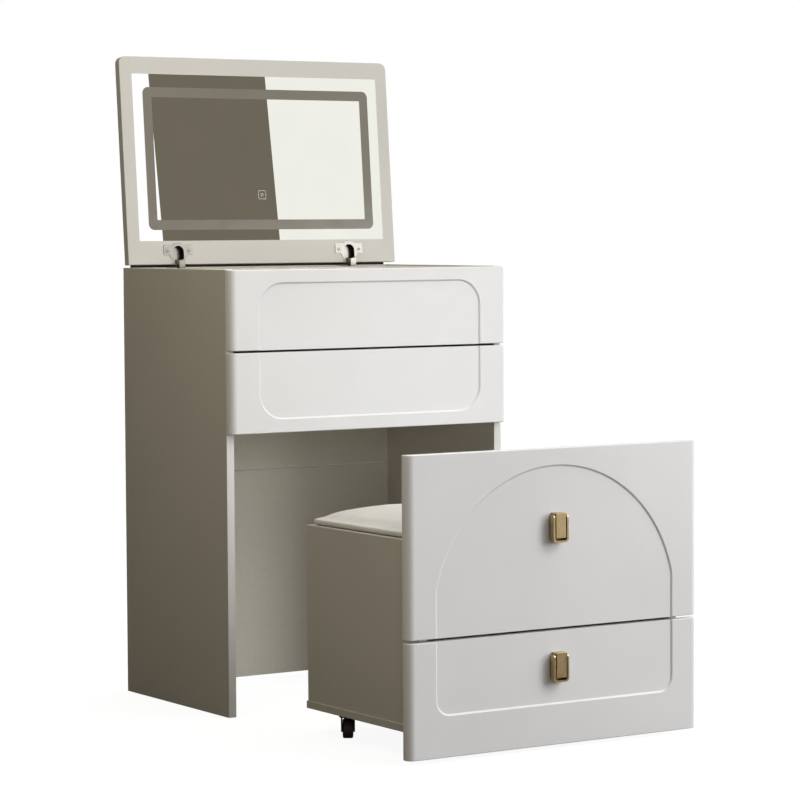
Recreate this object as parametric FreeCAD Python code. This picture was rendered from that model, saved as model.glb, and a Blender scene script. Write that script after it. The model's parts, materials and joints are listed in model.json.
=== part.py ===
"""A small vanity table: a case with two drawers, a lifting mirror lid and a pull-out stool on casters.

Millimetres, +Z up, +X to the sitter's right, +Y towards the back of the case.
The model is worked out with the case's side panels standing on z = 0 with their front edges on
y = 0 and the case centred on x = 0, then moved along Y so that the whole object, with its lid
open and its stool pulled out, is centred on the origin.
"""
import FreeCAD, Part
import math
import os

# ------------------------------------------------------------------ driving dimensions
# Case
CASE_WIDTH = 592.0
CASE_DEPTH = 388.0
CASE_HEIGHT = 800.0
BOARD = 15.0                   # side panels, top, backs and case bottom
EDGE_ROUND = 0.8               # worn edge on every board
TOP_RECESS = 2.0               # the top board lies this far below the side panels
TOP_RAIL_DEPTH = 38.0          # front rail, flush with the side panels
BACK_FLOOR_GAP = 8.0
BACK_SEAM_HEIGHT = 408.0       # where the two back panels meet
BACK_SEAM = 1.5
REAR_LIP_THICKNESS = 4.0       # lip behind the lid's lower edge
REAR_LIP_HEIGHT = 6.0
CASE_BOTTOM_REVEAL = 2.5       # from the lower drawer front's edge up to the case bottom

# Drawer fronts
FRONT_THICKNESS = 18.0
FRONT_CORNER = 12.0            # rounded upright corners
FRONT_EDGE_ROUND = 1.5
SHUT_GAP = 0.3                 # between a shut front and the boards behind it
FRONT_GAP = 4.0                # between the two case fronts
FRONT_TOP_DROP = 1.0
UPPER_FRONT_HEIGHT = 143.3
LOWER_FRONT_HEIGHT = 144.2

# Shallow field cut into the fronts
FIELD_DEPTH = 2.5
FIELD_BEVEL = 3.0
CASE_FIELD_SIDE = 58.0
CASE_FIELD_TOP = 22.5
CASE_FIELD_BOTTOM = 23.7
CASE_FIELD_CORNER = 48.0
STOOL_FIELD_SIDE = 53.0
STOOL_FIELD_TOP = 28.0
STOOL_FIELD_BOTTOM = 68.0
STOOL_FIELD_CORNER = 27.0
STOOL_ARCH_EXTRA = 5.5         # the arch's radius beyond half its span

# Drawer boxes and their runners
DRAWER_BOARD = 12.0
DRAWER_HEADROOM = 3.3          # upper box below the top board
DRAWER_BACK_CLEARANCE = 43.0
DRAWER_BOX_LIFT = 24.0         # box above its front's lower edge
RUNNER_OVERLAP = 80.0          # bar still in its channel with the drawer fully out
BOTTOM_THICKNESS = 5.0
BOTTOM_GROOVE = 6.0
BOTTOM_HEIGHT = 10.0
RUNNER_SPACE = 13.0
RUNNER_HEIGHT = 36.0
RUNNER_WALL = 1.2
RUNNER_LIP = 5.0
RUNNER_DEPTH = 11.5
RUNNER_PLAY = 0.3
RUNNER_BAR = 4.0
RUNNER_FRONT_SETBACK = 4.0

# Lid and mirror
LID_THICKNESS = 16.0
LID_CORNER = 14.0
LID_LEAN = 4.75                # degrees past upright when open
LID_CLOSED_GAP = 3.0           # above the side panels when shut
LID_FRONT_OVERHANG = 12.9      # over the drawer front when shut
MIRROR_SIDE_BORDER = 25.5
MIRROR_TOP_BORDER = 32.5
MIRROR_BOTTOM_BORDER = 44.5
MIRROR_THICKNESS = 4.0
MIRROR_CORNER = 2.0
BAND_SIDE_MARGIN = 21.0        # mirror edge to light band
BAND_TOP_MARGIN = 24.8
BAND_BOTTOM_MARGIN = 20.5
BAND_WIDTH = 19.0
BAND_CORNER = 12.0
BAND_INNER_CORNER = 1.5
BAND_DEPTH = 1.0
LED_CHANNEL_WIDTH = 11.0
LED_CHANNEL_DEPTH = 5.0
LED_WIDTH = 8.0
LED_THICKNESS = 2.0
SENSOR_SIZE = 24.0
SENSOR_THICKNESS = 3.0
SENSOR_HEIGHT = 132.0          # above the lid's lower edge
INLET_RADIUS = 5.5
INLET_FLANGE_RADIUS = 7.5
INLET_FLANGE = 1.0
INLET_BORE_RADIUS = 2.8
INLET_FLOOR = 1.0

# Lid hinges
HINGE_INSET = 106.0            # from the lid's side edges
PIVOT_EDGE = 6.0               # pivot from the lid's lower edge
PIVOT_DEPTH = 8.0              # pivot behind the lid's mirror face
PIVOT_FROM_BACK = 14.4
PIN_RADIUS = 1.5
PIN_CLEARANCE = 0.05
CUP_RADIUS = 17.5
CUP_DEPTH = 12.0
CUP_WALL = 0.8
CUP_CENTRE = 22.5              # above the lid's lower edge
FLANGE_THICKNESS = 1.0
FLANGE_WIDTH = 62.0
FLANGE_HEIGHT = 19.4
FLANGE_RISE = 17.8
FLANGE_CORNER = 3.0
FLANGE_DISC_LAP = 1.5          # disc beyond the cup
FLANGE_MOUTH = 24.0
FLANGE_MOUTH_TOP = 35.0
ARM_WIDTH = 12.0
ARM_WALL = 1.5
ARM_REACH = 23.6               # forward of the pivot
ARM_LEG_DEPTH = 12.0
ARM_HALF_HEIGHT = 2.5
ARM_DROP = 62.0                # below the pivot
KNUCKLE_RADIUS = 3.0
EAR_THICKNESS = 1.1
EAR_PLAY = 0.25
ARM_NOTCH_PLAY = 3.0           # round the arm in the top board
PLATE_WING_WIDTH = 50.0
PLATE_HEIGHT = 28.0
PLATE_WING = 2.0
PLATE_WING_HEIGHT = 16.0
PLATE_BOSS_WIDTH = 14.0
SCREW_HEAD_RADIUS = 3.5
SCREW_HEAD = 1.0
SCREW_RADIUS = 1.75
SCREW_LENGTH = 10.0
CUP_SCREW_SPACING = 46.0
CUP_SCREW_DROP = 2.5           # below the middle of the flange
PLATE_SCREW_SPACING = 32.0

# Cam-and-bolt corner fittings
BOLT_RADIUS = 3.5
BOLT_IN_SIDE = 10.0
CAM_RADIUS = 7.5
CAM_DEPTH = 12.5
CAM_FROM_END = 34.0
CAM_SETBACK = 60.0
BOLT_SHORT_OF_CAM = 2.0        # bolt's tip from the cam's centre

# Stool
STOOL_PULLED_OUT = 573.0
STOOL_TOP_GAP = 2.0            # under the lower drawer front
STOOL_FLOOR_GAP = 7.5
STOOL_DRAWER_FRONT_HEIGHT = 191.8
STOOL_FRONT_GAP = 4.8          # between its two fronts
STOOL_BOX_INSET = 32.0
STOOL_BACK_CLEARANCE = 21.0
BACKREST_HEIGHT = 143.0        # stool front above the seat box
BASE_THICKNESS = 13.0
BASE_PROUD = 2.0
BASE_SEAM = 1.0
BASE_SEAM_AT = 193.0
CUSHION_INSET = 6.0
CUSHION_CROWN = 42.0
CUSHION_CORNER = 11.0
CUSHION_LEVELS = ((0, 0), (0.30, 0), (0.70, 30), (1.0, 90))    # share of the rise, step in from the edge
SOFT_GAP = 0.3
STOOL_DRAWER_LIFT = 6.5        # box above the base board
STOOL_DRAWER_BOX_HEIGHT = 106.0
STOOL_DRAWER_BACK_CLEARANCE = 32.0
STOOL_RUNNER_OVERLAP = 90.0

# Pulls: a post with a swinging loop
PULL_WIDTH = 30.5
PULL_HEIGHT = 49.5
PULL_DEPTH = 15.0
PULL_CORNER = 7.0
PULL_PLATE = 4.0
PULL_PLATE_INSET = 1.5
POST_WIDTH = 20.4
POST_HEIGHT = 42.5
POST_ROUND = 1.2
LOOP_WALL = 3.2
LOOP_BACK_GAP = 1.0
LOOP_TOP_DROP = 3.0
LOOP_PIN_RADIUS = 1.5
LOOP_SWING = 80.0              # degrees
STOOL_PULL_DROP = 132.75       # middle of the pull below the top of its front
DRAWER_PULL_DROP = 60.5

# Casters
CASTER_SIDE_INSET = 58.0
CASTER_FRONT = 62.0
CASTER_BACK_INSET = 88.0
CASTER_ANGLE = -33.0           # degrees: the way the forks point at rest
CASTER_PLATE_SIZE = 38.0
CASTER_PLATE_CORNER = 4.0
CASTER_PLATE = 2.0
CASTER_TRAIL = 10.0
KINGPIN_RADIUS = 3.0
KINGPIN_HEAD_RADIUS = 5.0
KINGPIN_HEAD = 1.4
CROWN_RADIUS = 15.0
CROWN_THICKNESS = 4.0
CASTER_PLAY = 0.3
WHEEL_HEADROOM = 2.5           # wheel below the kingpin's head
RUNNING_CLEARANCE = 0.05
WHEEL_RADIUS = 17.0
WHEEL_WIDTH = 18.0
WHEEL_ROUND = 3.0
CHEEK = 2.5
CHEEK_GAP = 0.4
CHEEK_BOSS = 6.5
CHEEK_TOP_REACH = (-9.0, 16.5)  # along the fork, at the crown
AXLE_RADIUS = 2.5

# ------------------------------------------------------------------ places worked out from them
HALF_WIDTH = CASE_WIDTH / 2
INNER_HALF = HALF_WIDTH - BOARD
BACK_FACE = CASE_DEPTH - BOARD                      # the back panels' inner face

UPPER_FRONT_TOP = CASE_HEIGHT - FRONT_TOP_DROP
UPPER_FRONT_BOTTOM = UPPER_FRONT_TOP - UPPER_FRONT_HEIGHT
LOWER_FRONT_TOP = UPPER_FRONT_BOTTOM - FRONT_GAP
LOWER_FRONT_BOTTOM = LOWER_FRONT_TOP - LOWER_FRONT_HEIGHT
CASE_BOTTOM_LEVEL = LOWER_FRONT_BOTTOM + CASE_BOTTOM_REVEAL
TOP_LEVEL = CASE_HEIGHT - TOP_RECESS

DRAWER_BOX_HEIGHT = TOP_LEVEL - BOARD - DRAWER_HEADROOM - UPPER_FRONT_BOTTOM - DRAWER_BOX_LIFT
DRAWER_BOX_DEPTH = BACK_FACE - DRAWER_BACK_CLEARANCE
DRAWER_TRAVEL = DRAWER_BOX_DEPTH - RUNNER_OVERLAP

PIVOT_Y = CASE_DEPTH - PIVOT_FROM_BACK
PIVOT_Z = CASE_HEIGHT + LID_CLOSED_GAP + PIVOT_DEPTH
LID_LENGTH = PIVOT_Y + PIVOT_EDGE + LID_FRONT_OVERHANG
LID_TRAVEL = 90.0 + LID_LEAN
HINGE_PLACES = (-HALF_WIDTH + HINGE_INSET, HALF_WIDTH - HINGE_INSET)

STOOL_FRONT_TOP = LOWER_FRONT_BOTTOM - STOOL_TOP_GAP
STOOL_DRAWER_FRONT_TOP = STOOL_FLOOR_GAP + STOOL_DRAWER_FRONT_HEIGHT
STOOL_FRONT_BOTTOM = STOOL_DRAWER_FRONT_TOP + STOOL_FRONT_GAP
SEAT_LEVEL = STOOL_FRONT_TOP - BACKREST_HEIGHT
STOOL_BOX_HALF = HALF_WIDTH - STOOL_BOX_INSET
STOOL_INNER_HALF = STOOL_BOX_HALF - BOARD
STOOL_DEPTH = BACK_FACE - STOOL_BACK_CLEARANCE
STOOL_FACE = -STOOL_PULLED_OUT                      # back of the stool's front, at rest
STOOL_REAR = STOOL_FACE + STOOL_DEPTH
STOOL_TRAVEL = STOOL_PULLED_OUT - SHUT_GAP
STOOL_DRAWER_DEPTH = STOOL_DEPTH - STOOL_DRAWER_BACK_CLEARANCE
STOOL_DRAWER_TRAVEL = STOOL_DRAWER_DEPTH - STOOL_RUNNER_OVERLAP

KINGPIN_HEAD_BOTTOM = 2 * WHEEL_RADIUS + WHEEL_HEADROOM
CROWN_BOTTOM = KINGPIN_HEAD_BOTTOM + KINGPIN_HEAD + CASTER_PLAY
CROWN_TOP = CROWN_BOTTOM + CROWN_THICKNESS
BASE_HEIGHT = CROWN_TOP + CASTER_PLAY + CASTER_PLATE
BASE_TOP = BASE_HEIGHT + BASE_THICKNESS

STOOL_PULL_FACE = STOOL_FACE - FRONT_THICKNESS + FIELD_DEPTH
DRAWER_PULL_FACE = STOOL_PULL_FACE - SHUT_GAP
STOOL_PULL_HEIGHT = STOOL_FRONT_TOP - STOOL_PULL_DROP
DRAWER_PULL_HEIGHT = STOOL_DRAWER_FRONT_TOP - DRAWER_PULL_DROP

LOOP_PIVOT_DEPTH = (PULL_DEPTH + PULL_PLATE + LOOP_BACK_GAP) / 2    # from the front's face
LOOP_DEPTH = PULL_DEPTH - PULL_PLATE - LOOP_BACK_GAP
LOOP_PIVOT_DROP = LOOP_TOP_DROP + LOOP_DEPTH / 2                    # below the pull's top

KINGPIN_PLACES = {
    "front_left": (-HALF_WIDTH + CASTER_SIDE_INSET, STOOL_FACE + CASTER_FRONT),
    "front_right": (HALF_WIDTH - CASTER_SIDE_INSET, STOOL_FACE + CASTER_FRONT),
    "rear_left": (-HALF_WIDTH + CASTER_SIDE_INSET, STOOL_REAR - CASTER_BACK_INSET),
    "rear_right": (HALF_WIDTH - CASTER_SIDE_INSET, STOOL_REAR - CASTER_BACK_INSET),
}

lean = math.radians(LID_LEAN)
FRONT_MOST = DRAWER_PULL_FACE - PULL_DEPTH
BACK_MOST = (PIVOT_Y + (LID_LENGTH - PIVOT_EDGE) * math.sin(lean)
             + (LID_THICKNESS - PIVOT_DEPTH) * math.cos(lean))
MIDDLE_Y = (FRONT_MOST + BACK_MOST) / 2

X_AXIS = FreeCAD.Vector(1, 0, 0)
Y_AXIS = FreeCAD.Vector(0, 1, 0)
Z_AXIS = FreeCAD.Vector(0, 0, 1)


# ------------------------------------------------------------------ helpers
def block(x, y, z):
    """A box between the two values given for each axis."""
    size = [max(pair) - min(pair) for pair in (x, y, z)]
    return Part.makeBox(*size, FreeCAD.Vector(min(x), min(y), min(z)))


def rod(radius, length, start, direction=Z_AXIS):
    return Part.makeCylinder(radius, length, FreeCAD.Vector(*start), direction)


def about(middle, half):
    return (middle - half, middle + half)


def joined(first, *others):
    """Union of touching or overlapping pieces, as one clean solid."""
    return first.fuse(list(others)).removeSplitter()


def group(pieces):
    """Separate solids that share one node."""
    return Part.makeCompound(pieces)


def on_side(edge, shape, side):
    """True when an edge lies wholly on the named side of a shape's box."""
    near = 1e-4
    box, whole = edge.BoundBox, shape.BoundBox
    far_end = {
        "left": box.XMax - whole.XMin,
        "right": whole.XMax - box.XMin,
        "front": box.YMax - whole.YMin,
        "back": whole.YMax - box.YMin,
        "bottom": box.ZMax - whole.ZMin,
        "top": whole.ZMax - box.ZMin,
    }[side]
    return abs(far_end) < near


def softened(shape, radius, *sides, but_not=()):
    """Rounds the edges on some sides, leaving out those that also lie on others."""
    edges = [edge for edge in shape.Edges
             if any(on_side(edge, shape, side) for side in sides)
             and not any(on_side(edge, shape, side) for side in but_not)]
    return shape.makeFillet(radius, edges)


def rounded_outline(x, z, corner, y):
    """Closed rounded rectangle in a plane of constant y."""
    left, right = x
    low, high = z
    slant = corner * (1 - math.sqrt(0.5))
    point = lambda px, pz: FreeCAD.Vector(px, y, pz)
    corners = (
        (point(right - corner, low), point(right - slant, low + slant), point(right, low + corner)),
        (point(right, high - corner), point(right - slant, high - slant), point(right - corner, high)),
        (point(left + corner, high), point(left + slant, high - slant), point(left, high - corner)),
        (point(left, low + corner), point(left + slant, low + slant), point(left + corner, low)),
    )
    edges = []
    for number, (start, middle, end) in enumerate(corners):
        edges.append(Part.Arc(start, middle, end).toShape())
        edges.append(Part.LineSegment(end, corners[(number + 1) % 4][0]).toShape())
    return Part.Wire(edges)


def rounded_slab(x, y, z, corner):
    """Rounded rectangle in x and z, from one y to another."""
    outline = rounded_outline(x, z, corner, min(y))
    return Part.Face(outline).extrude(Y_AXIS * (max(y) - min(y)))


def save(name, shape):
    if not shape.isValid():
        raise ValueError(name + " is not a valid shape")
    moved = shape.copy()
    moved.translate(Y_AXIS * -MIDDLE_Y)
    moved.exportStep(os.path.join("parts", name + ".step"))


# ------------------------------------------------------------------ corner fittings of the case
def cam_fittings(board_name):
    """Bolts and cams at both ends of a board; each bolt's tip is let into its cam."""
    flat_boards = {
        "top_board": (TOP_LEVEL - BOARD, (CAM_SETBACK, BACK_FACE - CAM_SETBACK)),
        "case_bottom": (CASE_BOTTOM_LEVEL, (CAM_SETBACK, BACK_FACE - CAM_SETBACK)),
    }
    back_boards = {
        "back_panel_lower": (BACK_FLOOR_GAP + CAM_SETBACK, BACK_SEAM_HEIGHT - CAM_SETBACK),
        "back_panel_upper": (BACK_SEAM_HEIGHT + CAM_SETBACK, CASE_HEIGHT - 2 * CAM_SETBACK),
    }
    bolts, cams = [], []
    bolt_length = BOLT_IN_SIDE + CAM_FROM_END - BOLT_SHORT_OF_CAM
    for side in (-1, 1):
        bolt_end = side * (INNER_HALF + BOLT_IN_SIDE)
        cam_x = side * (INNER_HALF - CAM_FROM_END)
        if board_name in flat_boards:
            underside, places = flat_boards[board_name]
            for y in places:
                start = (bolt_end, y, underside + BOARD / 2)
                bolts.append(rod(BOLT_RADIUS, bolt_length, start, X_AXIS * -side))
                cams.append(rod(CAM_RADIUS, CAM_DEPTH, (cam_x, y, underside)))
        else:
            for z in back_boards[board_name]:
                middle = BACK_FACE + BOARD / 2
                bolts.append(rod(BOLT_RADIUS, bolt_length, (bolt_end, middle, z), X_AXIS * -side))
                cams.append(rod(CAM_RADIUS, CAM_DEPTH, (cam_x, CASE_DEPTH, z), Y_AXIS * -1))
    return bolts, [cam.cut(bolts) for cam in cams]


CASE_BOARDS = ("top_board", "case_bottom", "back_panel_lower", "back_panel_upper")


def side_panel(side):
    panel = block((side * INNER_HALF, side * HALF_WIDTH), (0, CASE_DEPTH), (0, CASE_HEIGHT))
    panel = softened(panel, EDGE_ROUND, "left" if side < 0 else "right", but_not=("bottom",))
    for name in CASE_BOARDS:
        bolts, _ = cam_fittings(name)
        panel = panel.cut(bolts)
    return panel


def with_cam_holes(board, name):
    bolts, cams = cam_fittings(name)
    return board.cut(bolts + cams)


def case_bolts_and_cams():
    metal = []
    for name in CASE_BOARDS:
        bolts, cams = cam_fittings(name)
        metal += bolts + cams
    return group(metal)


# ------------------------------------------------------------------ case boards
def arm_notches():
    """The slots in the top board that the hinge arms come up through."""
    front = PIVOT_Y - ARM_REACH - ARM_NOTCH_PLAY
    return [block(about(x, ARM_WIDTH / 2 + ARM_NOTCH_PLAY), (front, BACK_FACE),
                  (TOP_LEVEL - BOARD, TOP_LEVEL)) for x in HINGE_PLACES]


def top_board():
    board = block(about(0, INNER_HALF), (TOP_RAIL_DEPTH, BACK_FACE), (TOP_LEVEL - BOARD, TOP_LEVEL))
    return with_cam_holes(board.cut(arm_notches()), "top_board")


def top_front_rail():
    rail = block(about(0, INNER_HALF), (0, TOP_RAIL_DEPTH), (CASE_HEIGHT - BOARD, CASE_HEIGHT))
    return softened(rail, EDGE_ROUND, "top", but_not=("left", "right"))


def case_bottom():
    board = block(about(0, INNER_HALF), (0, BACK_FACE), about(CASE_BOTTOM_LEVEL + BOARD / 2, BOARD / 2))
    return with_cam_holes(board, "case_bottom")


def back_panel_lower():
    board = block(about(0, INNER_HALF), (BACK_FACE, CASE_DEPTH),
                  (BACK_FLOOR_GAP, BACK_SEAM_HEIGHT - BACK_SEAM / 2))
    return with_cam_holes(board, "back_panel_lower")


def back_panel_upper():
    board = block(about(0, INNER_HALF), (BACK_FACE, CASE_DEPTH),
                  (BACK_SEAM_HEIGHT + BACK_SEAM / 2, CASE_HEIGHT))
    lip = block(about(0, INNER_HALF), (CASE_DEPTH - REAR_LIP_THICKNESS, CASE_DEPTH),
                (CASE_HEIGHT, CASE_HEIGHT + REAR_LIP_HEIGHT))
    board = joined(board, lip)
    for x in HINGE_PLACES:
        board = board.cut(plate_screws(x))
    return with_cam_holes(board, "back_panel_upper")


# ------------------------------------------------------------------ drawer fronts and their fields
def front_panel(y_back, bottom, top):
    """A full-width front with rounded upright corners and softened edges."""
    face = y_back - FRONT_THICKNESS
    slant = FRONT_CORNER * (1 - math.sqrt(0.5))
    point = lambda x, y: FreeCAD.Vector(x, y, bottom)
    left_side = point(-HALF_WIDTH, face + FRONT_CORNER)
    left_face = point(-HALF_WIDTH + FRONT_CORNER, face)
    right_face = point(HALF_WIDTH - FRONT_CORNER, face)
    right_side = point(HALF_WIDTH, face + FRONT_CORNER)
    right_back = point(HALF_WIDTH, y_back)
    left_back = point(-HALF_WIDTH, y_back)
    outline = Part.Wire([
        Part.Arc(left_side, point(-HALF_WIDTH + slant, face + slant), left_face).toShape(),
        Part.LineSegment(left_face, right_face).toShape(),
        Part.Arc(right_face, point(HALF_WIDTH - slant, face + slant), right_side).toShape(),
        Part.LineSegment(right_side, right_back).toShape(),
        Part.LineSegment(right_back, left_back).toShape(),
        Part.LineSegment(left_back, left_side).toShape(),
    ])
    panel = Part.Face(outline).extrude(Z_AXIS * (top - bottom))
    return softened(panel, FRONT_EDGE_ROUND, "top", "bottom", but_not=("back",))


def field_cutter(outline, face):
    """A shallow bevelled field: outline(inset, y) gives its edge at a depth."""
    above = 0.5
    slope = FIELD_BEVEL / FIELD_DEPTH
    mouth = outline(-above * slope, face - above)
    floor = outline(FIELD_BEVEL, face + FIELD_DEPTH)
    return Part.makeLoft([mouth, floor], True, True)


def case_field(inset, y):
    return rounded_outline(
        about(0, HALF_WIDTH - CASE_FIELD_SIDE - inset),
        (LOWER_FRONT_BOTTOM + CASE_FIELD_BOTTOM + inset, UPPER_FRONT_TOP - CASE_FIELD_TOP - inset),
        CASE_FIELD_CORNER - inset, y)


def stool_field(inset, y):
    """An arch on upright sides with rounded lower corners; the arch meets the sides at a slight angle."""
    half = HALF_WIDTH - STOOL_FIELD_SIDE
    radius = half + STOOL_ARCH_EXTRA
    centre = STOOL_FRONT_TOP - STOOL_FIELD_TOP - radius
    half -= inset
    radius -= inset
    low = STOOL_FIELD_BOTTOM + STOOL_FLOOR_GAP + inset
    corner = STOOL_FIELD_CORNER - inset
    spring = centre + math.sqrt(radius ** 2 - half ** 2)
    slant = corner * (1 - math.sqrt(0.5))
    point = lambda x, z: FreeCAD.Vector(x, y, z)
    low_left = point(-half + corner, low)
    low_right = point(half - corner, low)
    right_foot = point(half, low + corner)
    right_spring = point(half, spring)
    left_spring = point(-half, spring)
    left_foot = point(-half, low + corner)
    return Part.Wire([
        Part.LineSegment(low_left, low_right).toShape(),
        Part.Arc(low_right, point(half - slant, low + slant), right_foot).toShape(),
        Part.LineSegment(right_foot, right_spring).toShape(),
        Part.Arc(right_spring, point(0, centre + radius), left_spring).toShape(),
        Part.LineSegment(left_spring, left_foot).toShape(),
        Part.Arc(left_foot, point(-half + slant, low + slant), low_left).toShape(),
    ])


def case_front(bottom, top):
    face = -SHUT_GAP - FRONT_THICKNESS
    return front_panel(-SHUT_GAP, bottom, top).cut(field_cutter(case_field, face))


# ------------------------------------------------------------------ drawer boxes and runners
def drawer_box(prefix, front_y, half_inside, bottom, height, depth):
    """Sides, back and bottom of a drawer hung between two boards half_inside from the middle."""
    half = half_inside - RUNNER_SPACE
    inner = half - DRAWER_BOARD
    groove = inner + BOTTOM_GROOVE
    back_y = front_y + depth
    panel_y = (front_y, back_y - DRAWER_BOARD)
    panel_z = (bottom + BOTTOM_HEIGHT, bottom + BOTTOM_HEIGHT + BOTTOM_THICKNESS)
    panel = block(about(0, groove), panel_y, panel_z)
    pieces = {prefix + "_bottom": panel}
    for name, side in (("_side_left", -1), ("_side_right", 1)):
        board = block((side * inner, side * half), (front_y, back_y), (bottom, bottom + height))
        board = softened(board, EDGE_ROUND, "top", but_not=("front",))
        pieces[prefix + name] = board.cut(panel)
    back = block(about(0, inner), (back_y - DRAWER_BOARD, back_y), (bottom, bottom + height))
    pieces[prefix + "_back"] = softened(back, EDGE_ROUND, "top", but_not=("left", "right"))
    return pieces


def runner_pair(front_y, half_inside, middle_z, length):
    """The fixed channels and the sliding bars of a pair of drawer runners."""
    channels, bars = [], []
    high = RUNNER_HEIGHT / 2
    mouth = high - RUNNER_LIP
    y = (front_y + RUNNER_FRONT_SETBACK, front_y + length)
    for side in (-1, 1):
        outer = side * half_inside
        mouth_x = side * (half_inside - RUNNER_DEPTH)
        web = side * (half_inside - RUNNER_WALL)
        lip = side * (half_inside - RUNNER_DEPTH + RUNNER_WALL)
        channel = block((mouth_x, outer), y, about(middle_z, high))
        cavity = block((lip, web), y, about(middle_z, high - RUNNER_WALL))
        opening = block((mouth_x, lip), y, about(middle_z, mouth))
        channels.append(channel.cut([cavity, opening]))
        bar_inner = side * (half_inside - RUNNER_DEPTH + RUNNER_WALL + RUNNER_PLAY)
        bar_outer = bar_inner + side * RUNNER_BAR
        bar = block((bar_inner, bar_outer), y, about(middle_z, high - RUNNER_WALL - RUNNER_PLAY))
        neck_x = (side * (half_inside - RUNNER_SPACE), bar_inner)
        neck = block(neck_x, y, about(middle_z, mouth - 2 * RUNNER_PLAY))
        bars.append(joined(bar, neck))
    return group(channels), group(bars)


def case_drawer(prefix, bottom, top):
    box_bottom = bottom + DRAWER_BOX_LIFT
    pieces = drawer_box(prefix, -SHUT_GAP, INNER_HALF, box_bottom, DRAWER_BOX_HEIGHT, DRAWER_BOX_DEPTH)
    pieces[prefix + "_front"] = case_front(bottom, top)
    channels, bars = runner_pair(0, INNER_HALF, box_bottom + DRAWER_BOX_HEIGHT / 2, DRAWER_BOX_DEPTH)
    pieces[prefix + "_channels"] = channels
    pieces[prefix + "_runner_bars"] = bars
    return pieces


# ------------------------------------------------------------------ lid, mirror and light
def placed_on_lid(shape):
    """Moves a piece drawn on an upright lid (face on y = 0, lower edge on z = 0) to the open lid."""
    moved = shape.copy()
    moved.translate(FreeCAD.Vector(0, PIVOT_Y - PIVOT_DEPTH, PIVOT_Z - PIVOT_EDGE))
    moved.rotate(FreeCAD.Vector(0, PIVOT_Y, PIVOT_Z), X_AXIS, -LID_LEAN)
    return moved


MIRROR_X = about(0, HALF_WIDTH - MIRROR_SIDE_BORDER)
MIRROR_Z = (MIRROR_BOTTOM_BORDER, LID_LENGTH - MIRROR_TOP_BORDER)
BAND_X = (MIRROR_X[0] + BAND_SIDE_MARGIN, MIRROR_X[1] - BAND_SIDE_MARGIN)
BAND_Z = (MIRROR_Z[0] + BAND_BOTTOM_MARGIN, MIRROR_Z[1] - BAND_TOP_MARGIN)


def ring(inset, width, y):
    """A rectangular ring that follows the light band's outer edge at an inset."""
    outside = rounded_slab((BAND_X[0] + inset, BAND_X[1] - inset), y, (BAND_Z[0] + inset, BAND_Z[1] - inset),
                           BAND_CORNER - inset)
    far = inset + width
    inside = rounded_slab((BAND_X[0] + far, BAND_X[1] - far), y, (BAND_Z[0] + far, BAND_Z[1] - far),
                          BAND_INNER_CORNER)
    return outside.cut(inside)


LED_INSET = (BAND_WIDTH - LED_CHANNEL_WIDTH) / 2
STRIP_INSET = (BAND_WIDTH - LED_WIDTH) / 2
CHANNEL_FLOOR = MIRROR_THICKNESS + LED_CHANNEL_DEPTH


def sensor_place(y):
    return block(about(0, SENSOR_SIZE / 2), y, about(SENSOR_HEIGHT, SENSOR_SIZE / 2))


INLET_HEIGHT = BAND_Z[0] + BAND_WIDTH / 2


def inlet_barrel():
    return rod(INLET_RADIUS, LID_THICKNESS - CHANNEL_FLOOR, (0, LID_THICKNESS, INLET_HEIGHT), Y_AXIS * -1)


def mirror_glass():
    glass = rounded_slab(MIRROR_X, (0, MIRROR_THICKNESS), MIRROR_Z, MIRROR_CORNER)
    return placed_on_lid(glass.cut(ring(0, BAND_WIDTH, (0, BAND_DEPTH))))


def light_band():
    return placed_on_lid(ring(0, BAND_WIDTH, (0, BAND_DEPTH)))


def led_strip():
    return placed_on_lid(ring(STRIP_INSET, LED_WIDTH, (CHANNEL_FLOOR - LED_THICKNESS, CHANNEL_FLOOR)))


def touch_sensor():
    return placed_on_lid(sensor_place((MIRROR_THICKNESS, MIRROR_THICKNESS + SENSOR_THICKNESS)))


def power_inlet():
    flange = rod(INLET_FLANGE_RADIUS, INLET_FLANGE, (0, LID_THICKNESS, INLET_HEIGHT), Y_AXIS)
    bore_depth = LID_THICKNESS + INLET_FLANGE - CHANNEL_FLOOR - INLET_FLOOR
    bore = rod(INLET_BORE_RADIUS, bore_depth, (0, LID_THICKNESS + INLET_FLANGE, INLET_HEIGHT), Y_AXIS * -1)
    return placed_on_lid(joined(inlet_barrel(), flange).cut(bore))


def lid_panel():
    square_low = block(about(0, HALF_WIDTH), (0, LID_THICKNESS), (0, LID_CORNER * 2))
    slab = rounded_slab(about(0, HALF_WIDTH), (0, LID_THICKNESS), (0, LID_LENGTH), LID_CORNER)
    panel = softened(joined(slab, square_low), EDGE_ROUND, "front", "back")
    panel = panel.cut(rounded_slab(MIRROR_X, (-1, MIRROR_THICKNESS), MIRROR_Z, MIRROR_CORNER))
    panel = panel.cut(ring(LED_INSET, LED_CHANNEL_WIDTH, (MIRROR_THICKNESS, CHANNEL_FLOOR)))
    panel = panel.cut(sensor_place((MIRROR_THICKNESS, MIRROR_THICKNESS + SENSOR_THICKNESS)))
    panel = panel.cut(inlet_barrel())
    for x in HINGE_PLACES:
        panel = panel.cut([cup_shape(x, CUP_RADIUS, EAR_OUTER, CUP_DEPTH)] + cup_screws(x))
    return placed_on_lid(panel)


# ------------------------------------------------------------------ lid hinges
EAR_INNER = ARM_WIDTH / 2 + EAR_PLAY
EAR_OUTER = EAR_INNER + EAR_THICKNESS


def cup_shape(x, radius, slot_half, depth):
    """Round, with a slot out past the lid's lower edge for the arm."""
    return rod(radius, depth, (x, 0, CUP_CENTRE), Y_AXIS).fuse(
        block(about(x, slot_half), (0, depth), (-1, CUP_CENTRE)))


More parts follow.
